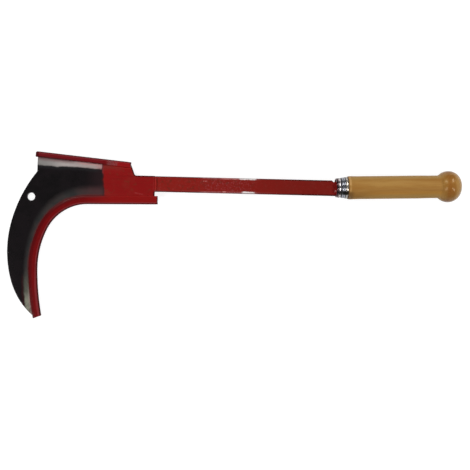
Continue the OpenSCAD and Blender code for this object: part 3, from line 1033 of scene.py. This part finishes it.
@dataclass(frozen=True)
class VarnishedWood:
    """Turned pale hardwood, sealed with a thin satin varnish, with its grain along the grip."""

    front: float
    pale: Tint = tint(170, 128, 66)
    honey: Tint = tint(156, 110, 50)
    streak: Tint = tint(146, 92, 36)
    pore: Tint = tint(110, 72, 32)
    knob: Tint = tint(142, 90, 38)
    neck: Tint = tint(140, 78, 30)
    knob_end: Tint = tint(196, 154, 94)
    # Painted highlight on the wood's rounded front
    ring_highlight: Tint = tint(204, 162, 104)
    # Painted shade at the gap between the ferrule and the wood
    ferrule_gap_shade: Tint = tint(104, 76, 44)
    # Painted light on the grip's lower side
    lower_side_light: Tint = tint(186, 134, 60)
    # Painted reflection of the floor on the grip's sides
    olive: Tint = tint(182, 146, 86)
    front_shade: Tint = tint(104, 74, 42)
    varnish: Tint = (1.0, 0.82, 0.55, 1.0)
    neck_along: Band = (69.0, 73.2, 3.2)
    knob_along: Pair = (64.0, 74.0)
    knob_end_along: Pair = (76.5, 83.0)
    gloss_start: Pair = (58.0, 70.0)
    # How strong the painted highlight ring is across the grip
    ring_highlight_shares: Points = (
        (-12.0, 0.1), (-8.0, 0.12), (-4.5, 0.4), (-2.0, 0.4),
        (0.3, 0.22), (3.8, 0.58), (8.0, 0.6), (12.0, 0.5),
    )

    def make(self) -> Material:
        """Builds the finish.

        Returns:
            The material.
        """
        bench = Bench(bpy.data.materials.new("turned_wood"))
        where = bench.place()
        grain = where.stretch((0.03, 0.7, 0.7)).cloud(1.0, 4.0, 0.6)
        pores = where.stretch((0.14, 2.6, 2.6)).cloud(1.0, 2.0, 0.6)
        at = Survey(where, grain, pores)
        # Painted highlight: a pale ring on the upper side of the wood's front, where the lamps glint; the
        # ring is also smoother
        ring_highlight = at.x.between(self.front + 1.2, self.front + 3.6, 0.8) * at.z.ease(0.0, 8.0)
        colour = bench.lay(
            self.grow(at),
            (self.ring_highlight, ring_highlight * at.y.curve(self.ring_highlight_shares)),
            # Painted shade: the wood's front edge darker in the gap by the ferrule
            (self.ferrule_gap_shade, at.x.ease(self.front + 1.1, self.front + 0.3) * 0.8),
        )
        colour = self.tan(at, colour)
        roughness = at.x.ease(*self.gloss_start).pick(grain.spread(0.5, 0.6), grain.spread(0.14, 0.2))
        normal = bench.relief(grain + pores * 0.6, 0.04, 0.3, bench.edge(1.6))
        return bench.coat(
            colour, ring_highlight.pick(roughness, 0.3), normal, Specular_IOR_Level=0.22, Specular_Tint=self.varnish
        )

    def grow(self, at: Survey) -> Socket:
        """Mixes the wood's figure, grain and pores, browner at the neck and paler on the knob's end.

        Args:
            at: The grip's readings.

        Returns:
            The mixed colour.
        """
        bench, x, y, grain = at.bench, at.x, at.y, at.broad
        figure = at.where.stretch((0.012, 0.12, 0.12)).cloud(1.0, 3.0, 0.5, 0.3)
        neck = (x + grain * 5.0 - 2.5).between(*self.neck_along)
        return bench.lay(
            self.pale,
            (self.honey, figure.ease(0.35, 0.65)),
            (self.streak, grain.ease(0.52, 0.75) * 0.45),
            (self.streak, y.ease(2.0, -7.0) * y.ease(-15.0, -9.0) * 0.3),
            (self.knob, x.ease(*self.knob_along) * 0.5),
            (self.neck, neck * 0.32),
            (self.knob_end, x.ease(*self.knob_end_along) * 0.62),
            (self.pore, at.fine.ease(0.6, 0.75) * 0.35),
        )

    def tan(self, at: Survey, colour: Socket) -> Socket:
        """Lightens the grip's lower side as painted light, pales both sides as a painted reflection, and
        darkens the lower side by the ferrule as painted shade.

        Args:
            at: The grip's readings.
            colour: The colour below.

        Returns:
            The resulting colour.
        """
        bench, x, y = at.bench, at.x, at.y
        off_knob = x.ease(68.0, 60.0)
        off_ferrule = x.ease(-44.0, -6.0)
        # Painted light: the grip's lower side lighter and warmer
        low = (y + at.broad * 3.0).ease(-3.0, -8.0) * (off_knob * 0.8) * off_ferrule
        # Painted reflection: both sides paler and greyer, as the floor mirrored at grazing angles
        sides = abs(y).ease(7.6, 12.0) * off_knob * x.ease(self.front, self.front + 8.0)
        sides = sides * bench.most(off_ferrule, y.ease(-1.0, 1.0))
        return bench.lay(
            colour,
            (self.lower_side_light, low),
            (self.olive, sides * 0.65),
            (self.front_shade, y.ease(-4.5, -8.0) * x.ease(-45.0, -51.0) * 0.6),
        )


@dataclass(frozen=True)
class GuardPlastic:
    """Crimson plastic of a push-on edge guard, with a painted highlight line along it and painted shade on
    its outer edge and ends.
    """

    plate: Plate
    edge: Grind
    highlight_share: float
    crimson: Tint = tint(112, 13, 15)
    shaded: Tint = tint(100, 14, 16)
    dusty: Tint = tint(120, 34, 30)
    # Painted highlight along the guard's rounded nose
    line: Tint = tint(136, 50, 54)
    # Painted shade on the outer edge and the ends
    shade_outline: Tint = tint(72, 8, 12)
    highlight_depth: float = 0.1

    def make(self) -> Material:
        """Builds the finish.

        Returns:
            The material.
        """
        bench = Bench(bpy.data.materials.new("guard_plastic_" + self.edge.value))
        where = self.plate.place(bench)
        at = Survey(where, where.cloud(11.0, 3.0, 0.5), where.cloud(1.5, 2.0, 0.5))
        depth = self.plate.depth(where, self.edge)
        colour = bench.lay(
            self.crimson,
            (self.shaded, at.broad.ease(0.45, 0.75) * 0.6),
            (self.dusty, where.cloud(4.0, 3.0, 0.6).ease(0.52, 0.74) * 0.35),
        )
        colour, highlight_inner, end = self.wear(at, depth, colour)
        # Painted highlight: a paler line along the rounded nose
        line = (depth + at.broad - 0.5 - highlight_inner).ease(0.4, -0.4) * depth.ease(-1.3, -0.7)
        colour = bench.lay(
            colour,
            (self.line, line * self.highlight_share),
            # Painted shade on the outer edge and the guard's ends
            (self.shade_outline, bench.most(depth.ease(-0.7, -1.5), end) * 0.9),
        )
        roughness = depth.ease(0.6, -0.6).pick(at.broad.spread(0.12, 0.17), 0.75)
        normal = bench.relief(at.fine + at.broad, 0.04, 0.25, bench.edge(0.35))
        return bench.coat(colour, roughness, normal, Specular_IOR_Level=0.18)

    def wear(self, at: Survey, depth: Amount, colour: Socket) -> tuple[Socket, object, Amount]:
        """Wears the guard in its own way, which each kind of guard fills in.

        Args:
            at: The guard's readings.
            depth: The distance from the plate's edge.
            colour: The colour below.

        Returns:
            The resulting colour, the depth where the painted highlight line ends, and the mask of the guard's
            ends, which get painted shade.
        """
        raise NotImplementedError


@dataclass(frozen=True)
class HookGuardPlastic(GuardPlastic):
    """The hook guard's plastic: brighter on the straight, and deep red along the bend."""

    edge: Grind = Grind.HOOK
    highlight_share: float = 0.55
    straight: Tint = tint(134, 21, 20)
    # Painted light by the guard's lip on the straight
    hook_lip_light: Tint = tint(150, 30, 28)
    rust: Tint = tint(122, 34, 26)
    deep: Tint = tint(90, 10, 13)
    grime: Tint = tint(92, 42, 42)
    bend_start: Pair = (50.0, 96.0)
    grime_along: Band = (66.0, 128.0, 24.0)
    end_along: Pair = (2.6, 3.6)

    def wear(self, at: Survey, depth: Amount, colour: Socket) -> tuple[Socket, object, Amount]:
        """Brightens the straight, with painted light by its lip, deepens the bend and greys its lip.

        Args:
            at: The guard's readings.
            depth: The distance from the plate's edge.
            colour: The colour below.

        Returns:
            The resulting colour, the depth where the painted highlight line ends, and the mask of the guard's
            end, which gets painted shade.
        """
        bench, run = at.bench, self.plate.run(at.where)
        grime = depth.ease(4.6, 7.8) * run.between(*self.grime_along)
        straight = bench.lay(
            self.straight,
            # Painted light: lighter by the lip, against the lip's shade
            (self.hook_lip_light, depth.ease(6.6, 8.0) * 0.7),
            (self.rust, at.where.cloud(4.0, 4.0, 0.6).ease(0.52, 0.74) * 0.4),
        )
        colour = bench.lay(
            straight,
            (colour, run.ease(*self.bend_start)),
            (self.deep, depth.ease(2.6, 6.0) * run.ease(70.0, 120.0)),
            (self.grime, grime * 0.75),
        )
        highlight_inner = run.ease(205.0, 235.0) * 1.6 + self.highlight_depth
        # The guard's end past the plate, for painted shade
        return colour, highlight_inner, at.x.ease(*self.end_along)


@dataclass(frozen=True)
class BackGuardPlastic(GuardPlastic):
    """The back guard's plastic: darker over the ground strip, and brighter by the shoulder."""

    edge: Grind = Grind.BACK
    highlight_share: float = 0.3
    worn: Tint = tint(110, 20, 26)
    # Painted shade towards the guard's lip over the strip
    guard_lip_shade: Tint = tint(76, 20, 24)
    bright: Tint = tint(144, 21, 24)
    # Painted light by the guard's lip over the paint
    back_lip_light: Tint = tint(154, 27, 28)
    # Painted highlight: a pale patch on the guard by the paint's edge
    pale_highlight: Tint = tint(128, 76, 78)
    pale_highlight_along: Band = (-61.0, -48.0, 4.0)
    heel_end: Pair = (-147.0, -148.4)
    shoulder_end: Pair = (-32.6, -31.6)

    def wear(self, at: Survey, depth: Amount, colour: Socket) -> tuple[Socket, object, Amount]:
        """Darkens the guard over the strip, with painted shade towards its lip, and brightens it over the
        paint, with painted light by its lip and a painted highlight patch.

        Args:
            at: The guard's readings.
            depth: The distance from the plate's edge.
            colour: The colour below.

        Returns:
            The resulting colour, the depth where the painted highlight line ends, and the mask of the guard's
            ends, which get painted shade.
        """
        bench, x = at.bench, at.x
        # Painted highlight patch on the guard by the paint's edge
        pale_highlight = x.between(*self.pale_highlight_along) * at.fine.ease(0.3, 0.6)
        # The guard over the strip, with painted shade towards its lip
        worn = bench.lay(self.worn, (self.guard_lip_shade, depth.ease(2.4, 4.6)))
        colour = bench.lay(
            colour,
            (worn, x.ease(-58.0, -72.0)),
            (self.bright, x.ease(-60.0, -46.0)),
            # Painted light by the lip, against the lip's shade
            (self.back_lip_light, x.ease(-62.0, -50.0) * depth.ease(3.2, 4.4)),
            (self.pale_highlight, pale_highlight * 0.7),
        )
        # The guard's ends by the shoulder and the heel, for painted shade
        by_shoulder = x.ease(*self.shoulder_end) * depth.ease(2.0, 0.0)
        return colour, self.highlight_depth, bench.most(by_shoulder, x.ease(*self.heel_end))


@dataclass
class Piece:
    """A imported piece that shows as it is, smoothed and given its finish."""

    name: str
    finish: Material
    slot: str
    crease: float

    def dress(self) -> None:
        """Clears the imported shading, smooths the round faces and puts the finish on."""
        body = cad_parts[self.name]
        mesh = body.data
        for name in ("custom_normal", "sharp_edge", "sharp_face"):
            layer = mesh.attributes.get(name)
            if layer is not None:
                mesh.attributes.remove(layer)
        mesh.shade_smooth()
        body.modifiers.new("soft_faces", "NODES").node_group = crease_group(self.crease)
        if not body.material_slots:
            mesh.materials.append(self.finish)
        for slot in body.material_slots:
            slot.material = self.finish
        log.info("%s: %d faces, finish %s", self.name, len(mesh.polygons), self.finish.name)


def reach(name: str) -> Pair:
    """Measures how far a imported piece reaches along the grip's axis.

    Args:
        name: The piece's name.

    Returns:
        Its end towards the blade and its end towards the knob, in millimetres.
    """
    places = [MM * vertex.co.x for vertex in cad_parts[name].data.vertices]
    return min(places), max(places)


def crease_group(angle: float) -> bpy.types.NodeTree:
    """Makes the nodes that join a mesh's seams and keep only its real creases sharp.

    Args:
        angle: The least angle of a crease, in degrees.

    Returns:
        The geometry node group.
    """
    name = f"crease_{angle:g}"
    known = bpy.data.node_groups.get(name)
    if known is not None:
        return known
    group = bpy.data.node_groups.new(name, "GeometryNodeTree")
    for way in ("INPUT", "OUTPUT"):
        group.interface.new_socket("Geometry", in_out=way, socket_type="NodeSocketGeometry")
    kinds = ("NodeGroupInput", "GeometryNodeMergeByDistance", "GeometryNodeSetShadeSmooth")
    start, merge, faces = (group.nodes.new(kind) for kind in kinds)
    kinds = ("GeometryNodeSetShadeSmooth", "NodeGroupOutput", "GeometryNodeInputMeshEdgeAngle")
    edges, end, bend = (group.nodes.new(kind) for kind in kinds)
    test = group.nodes.new("FunctionNodeCompare")
    merge.inputs["Distance"].default_value = SEAM
    test.operation = "GREATER_THAN"
    test.inputs[1].default_value = math.radians(angle)
    edges.domain = "EDGE"
    edges.inputs["Shade Smooth"].default_value = False
    group.links.new(start.outputs[0], merge.inputs["Geometry"])
    group.links.new(merge.outputs[0], faces.inputs["Geometry"])
    group.links.new(faces.outputs[0], edges.inputs["Geometry"])
    group.links.new(bend.outputs["Unsigned Angle"], test.inputs[0])
    group.links.new(test.outputs[0], edges.inputs["Selection"])
    group.links.new(edges.outputs[0], end.inputs[0])
    return group


@dataclass
class SickleHead:
    """The plate, its welds and the flat shank."""

    plate: Plate = field(default_factory=Plate)
    # Painted light: the welds get a lighter red than the shank, against the shade on their slopes
    weld_lit_red: Tint = tint(156, 34, 28)
    blade_crease: float = 6.0
    shank_crease: float = 12.0
    weld_crease: float = 30.0

    def build(self) -> None:
        """Dresses the head's pieces."""
        lit_weld_paint = RedPaint("lit_weld_paint", red=self.weld_lit_red, edging=0.0)
        Piece("blade", PlateSteel(self.plate).make(), "blackened_steel", self.blade_crease).dress()
        Piece("shank", RedPaint().make(), "red_paint", self.shank_crease).dress()
        Piece("lap_welds", lit_weld_paint.make(), "red_paint", self.weld_crease).dress()


@dataclass
class Handle:
    """The turned grip with its plated ferrule."""

    grip_crease: float = 35.0
    ferrule_crease: float = 40.0

    def build(self) -> None:
        """Dresses the handle's pieces, with their patterns laid out from the ferrule's two ends."""
        mouth, front = reach("ferrule")
        Piece("grip", VarnishedWood(front).make(), "varnished_wood", self.grip_crease).dress()
        Piece("ferrule", ChromePlate(mouth).make(), "chrome_plate", self.ferrule_crease).dress()


@dataclass
class EdgeGuards:
    """The two push-on guards over the ground edges."""

    plate: Plate = field(default_factory=Plate)
    crease: float = 12.0

    def build(self) -> None:
        """Dresses both guards."""
        Piece("back_edge_guard", BackGuardPlastic(self.plate).make(), "red_plastic", self.crease).dress()
        Piece("hook_edge_guard", HookGuardPlastic(self.plate).make(), "red_plastic", self.crease).dress()


@dataclass(frozen=True)
class Lamp:
    """One wide soft lamp, by the direction that it shines from, in degrees off the vertical."""

    name: str
    toward_knob: float
    toward_back: float
    power: float = 49.0


@dataclass
class Studio:
    """The pale floor that the sickle lies on, four soft lamps and the camera above, in metres."""

    middle: Pair = (-0.1981, -0.05875)
    rest_low: Pair = (0.060, -0.0197)
    rest_high: Pair = (-0.455, 0.0003)
    floor_half: float = 3.0
    floor_grey: Tint = (0.35, 0.35, 0.35, 1.0)
    floor_glow: float = 0.82
    lens: float = 50.0
    sensor: float = 36.0
    view_width: float = 0.59925
    view_level: float = 0.002
    view_turn: float = -0.63
    view_reach: Pair = (0.01, 20.0)
    lamp_reach: float = 4.0
    lamp_sides: Pair = (0.85, 1.7)
    dim: float = 0.1
    horizon: float = 0.05
    lamps: tuple[Lamp, ...] = (
        Lamp("lamp_left_high", -35.0, 42.0),
        Lamp("lamp_right_high", 34.0, 42.0),
        Lamp("lamp_left_low", -36.0, -23.0),
        Lamp("lamp_right_low", 34.0, -23.0),
    )

    def build(self) -> None:
        """Sets the whole studio up."""
        self.lay_floor()
        self.light_room()
        for lamp in self.lamps:
            self.hang(lamp)
        self.set_camera()

    def lay_floor(self) -> None:
        """Lays the pale floor against the knob and the hook's underside."""
        run = self.rest_low[0] - self.rest_high[0]
        rise = self.rest_high[1] - self.rest_low[1]
        half = self.floor_half
        corners = [(-half, -half, 0), (half, -half, 0), (half, half, 0), (-half, half, 0)]
        mesh = bpy.data.meshes.new("floor")
        mesh.from_pydata(corners, [], [(0, 1, 2, 3)])
        mesh.materials.append(self.floor_finish())
        floor = bpy.data.objects.new("floor", mesh)
        floor.location = (self.rest_low[0], self.middle[1], self.rest_low[1])
        floor.rotation_euler = (0, math.atan2(rise, run), 0)
        bpy.context.scene.collection.objects.link(floor)

    def floor_finish(self) -> Material:
        """Makes the floor's plain pale finish, which shows white to the camera and in reflections.

        Returns:
            The material.
        """
        bench = Bench(bpy.data.materials.new("pale_floor"))
        rays = bench.put("LightPath").outputs
        seen = bench.most(rays["Is Camera Ray"], rays["Is Glossy Ray"], rays["Is Transmission Ray"])
        matt = bench.put("BsdfDiffuse", {"Color": self.floor_grey})
        glow = bench.put("Emission", {"Color": WHITE, "Strength": seen * self.floor_glow})
        both = bench.put("AddShader", {0: matt.outputs[0], 1: glow.outputs[0]})
        bench.put("OutputMaterial", {"Surface": both.outputs[0]})
        return bench.holder

    def light_room(self) -> None:
        """Gives the room its dim even light, and a white horizon to what mirrors it."""
        world = bpy.data.worlds.new("room")
        bench = Bench(world)
        rays = bench.put("LightPath").outputs
        height = Place(bench, bench.put("TexCoord").outputs["Generated"]).axes()[2]
        low = bench.put("MapRange", {"Value": height, "From Min": self.horizon, "From Max": 0.0})
        mirrored = bench.sum("MULTIPLY", rays["Is Glossy Ray"], low.outputs[0])
        light = bench.most(rays["Is Camera Ray"], rays["Is Transmission Ray"], mirrored, self.dim)
        back = bench.put("Background", {"Color": WHITE, "Strength": light})
        bench.put("OutputWorld", {"Surface": back.outputs[0]})
        bpy.context.scene.world = world

    def hang(self, lamp: Lamp) -> None:
        """Hangs one lamp, facing the sickle's middle.

        Args:
            lamp: The lamp.
        """
        data = bpy.data.lights.new(lamp.name, "AREA")
        data.shape = "RECTANGLE"
        data.size, data.size_y = self.lamp_sides
        data.energy = lamp.power
        body = bpy.data.objects.new(lamp.name, data)
        lean = [math.tan(math.radians(angle)) for angle in (lamp.toward_knob, lamp.toward_back)]
        aim = Vector((*lean, 1)).normalized()
        body.location = Vector((*self.middle, 0)) + aim * self.lamp_reach
        body.rotation_euler = aim.to_track_quat("Z", "Y").to_euler()
        bpy.context.scene.collection.objects.link(body)

    def set_camera(self) -> None:
        """Sets the camera straight above, at the photograph's scale and turn."""
        data = bpy.data.cameras.new("camera")
        data.lens, data.sensor_width = self.lens, self.sensor
        data.clip_start, data.clip_end = self.view_reach
        camera = bpy.data.objects.new("camera", data)
        height = self.view_level + self.view_width * self.lens / self.sensor
        camera.location = (*self.middle, height)
        camera.rotation_euler = (0, 0, math.radians(self.view_turn))
        bpy.context.scene.collection.objects.link(camera)
        bpy.context.scene.camera = camera


def main() -> None:
    """Builds the studio and dresses the sickle, part by part."""
    logging.basicConfig(level=logging.INFO, format="%(name)s: %(message)s")
    bpy.context.scene.view_settings.view_transform = "Standard"
    SickleHead().build()
    Handle().build()
    EdgeGuards().build()
    Studio().build()


if __name__ == "__main__":
    main()
